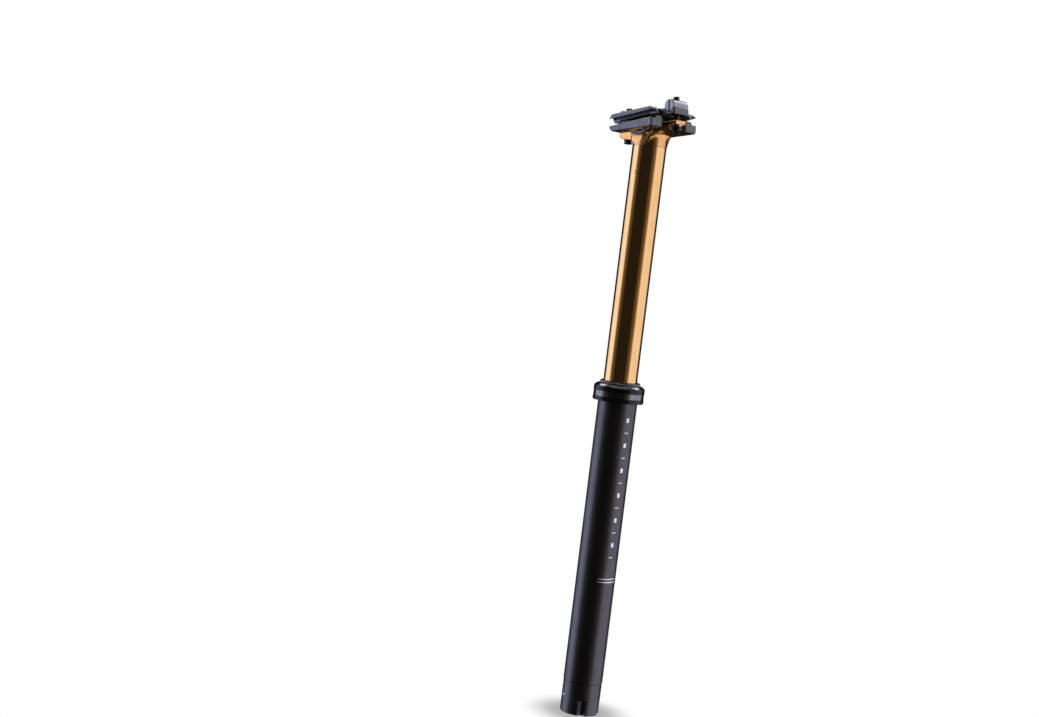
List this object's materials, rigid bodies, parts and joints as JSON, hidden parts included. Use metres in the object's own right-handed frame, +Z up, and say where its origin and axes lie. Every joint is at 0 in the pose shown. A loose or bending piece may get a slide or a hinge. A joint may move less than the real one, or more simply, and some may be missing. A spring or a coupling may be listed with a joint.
{
  "type": "dropper seatpost",
  "caption": "Telescopic bicycle seatpost: gold upper tube with forged two-bolt saddle clamp, black outer tube with sealed collar, gas and oil cartridge, cable-worked release.",
  "frame": {"origin": "on the post's axis, level with the underside of the collar, where the seat tube's top edge would stop", "axes": "+Z up the post's axis, +X to the front of the bicycle, +Y to its left"},
  "size_m": [0.0628, 0.049, 0.4852],
  "materials": {
    "anodised_black": "satin hard anodised",
    "collar_black": "gloss anodised",
    "rubber_black": "matt",
    "wiper_rubber": "satin",
    "steel_bright": "bright",
    "bushing_polymer": "matt",
    "anodised_gold": "gloss gold anodised",
    "brass_keys": "machined",
    "aluminium_plain": "drawn",
    "steel_ground": "ground and polished",
    "piston_bronze": "machined",
    "foot_black": "satin anodised",
    "lever_grey": "satin anodised",
    "bolt_black": "black oxide",
    "clamp_grey": "satin anodised",
    "nut_steel": "satin"
  },
  "bodies": {
    "lower_post": {"outer_tube": "anodised_black", "collar": "collar_black", "collar_seal": "rubber_black", "wiper_seal": "wiper_rubber", "wiper_garter": "steel_bright", "upper_bushing": "bushing_polymer", "piston_rod": "steel_ground", "main_piston": "piston_bronze", "piston_band": "bushing_polymer", "rod_nut": "steel_bright", "return_spring": "steel_bright", "actuator_body": "foot_black", "lever_pivot": "steel_bright"},
    "upper_post": {"upper_tube": "anodised_gold", "lower_bushing": "bushing_polymer", "guide_keys": "brass_keys", "top_out_bumper": "rubber_black", "cartridge_tube": "aluminium_plain", "cartridge_cap": "aluminium_plain", "gas_valve": "brass_keys", "rod_gland": "aluminium_plain", "rod_seal": "rubber_black", "clamp_bolts": "bolt_black", "bolt_washers": "steel_bright"},
    "saddle_clamp": {"lower_cradle": "clamp_grey", "upper_clamp": "clamp_grey"},
    "front_barrel_nut": {"front_nut": "nut_steel"},
    "rear_barrel_nut": {"rear_nut": "nut_steel"},
    "gas_piston": {"floating_piston": "aluminium_plain", "floating_seals": "rubber_black"},
    "valve": {"valve_pin": "steel_ground"},
    "lever": {"actuator_lever": "lever_grey"},
    "anchor": {"cable_anchor": "steel_bright", "anchor_screw": "bolt_black"}
  },
  "joints": [
    {"name": "post_travel", "type": "slide", "parent": "lower_post", "child": "upper_post", "axis": [0, 0, 1], "range_m": [-0.175, 0]},
    {"name": "clamp_tilt", "type": "hinge", "parent": "upper_post", "child": "saddle_clamp", "pos_m": [0.00137, 0, 0.22517], "axis": [0, 1, 0], "range_deg": [-7, 7]},
    {"name": "front_nut_turn", "type": "hinge", "parent": "saddle_clamp", "child": "front_barrel_nut", "pos_m": [0.02644, 0, 0.22053], "axis": [0, 1, 0], "range_deg": [-7.1, 7.1]},
    {"name": "rear_nut_turn", "type": "hinge", "parent": "saddle_clamp", "child": "rear_barrel_nut", "pos_m": [-0.02371, 0, 0.22982], "axis": [0, 1, 0], "range_deg": [-7.1, 7.1]},
    {"name": "gas_piston_slide", "type": "slide", "parent": "upper_post", "child": "gas_piston", "axis": [0, 0, 1], "range_m": [0, 0.0347]},
    {"name": "lever_swing", "type": "hinge", "parent": "lower_post", "child": "lever", "pos_m": [0.0055, 0, -0.2344], "axis": [0, 1, 0], "range_deg": [0, 22.05]},
    {"name": "valve_lift", "type": "slide", "parent": "lower_post", "child": "valve", "axis": [0, 0, 1], "range_m": [0, 0.00211], "stiffness_N_per_m": 900, "springref_m": -0.0003, "deforming": ["return_spring"]},
    {"name": "anchor_swivel", "type": "hinge", "parent": "lever", "child": "anchor", "pos_m": [0.011, 0, -0.2344], "axis": [0, 1, 0], "range_deg": [-22.1, 0]}
  ],
  "couplings": [
    {"joint": "front_nut_turn", "follows": "clamp_tilt", "ratio": -1},
    {"joint": "rear_nut_turn", "follows": "clamp_tilt", "ratio": -1},
    {"joint": "gas_piston_slide", "follows": "post_travel", "ratio": -0.19753},
    {"joint": "lever_swing", "follows": "valve_lift", "rad_per_m": 181.82},
    {"joint": "anchor_swivel", "follows": "valve_lift", "rad_per_m": -181.82}
  ]
}
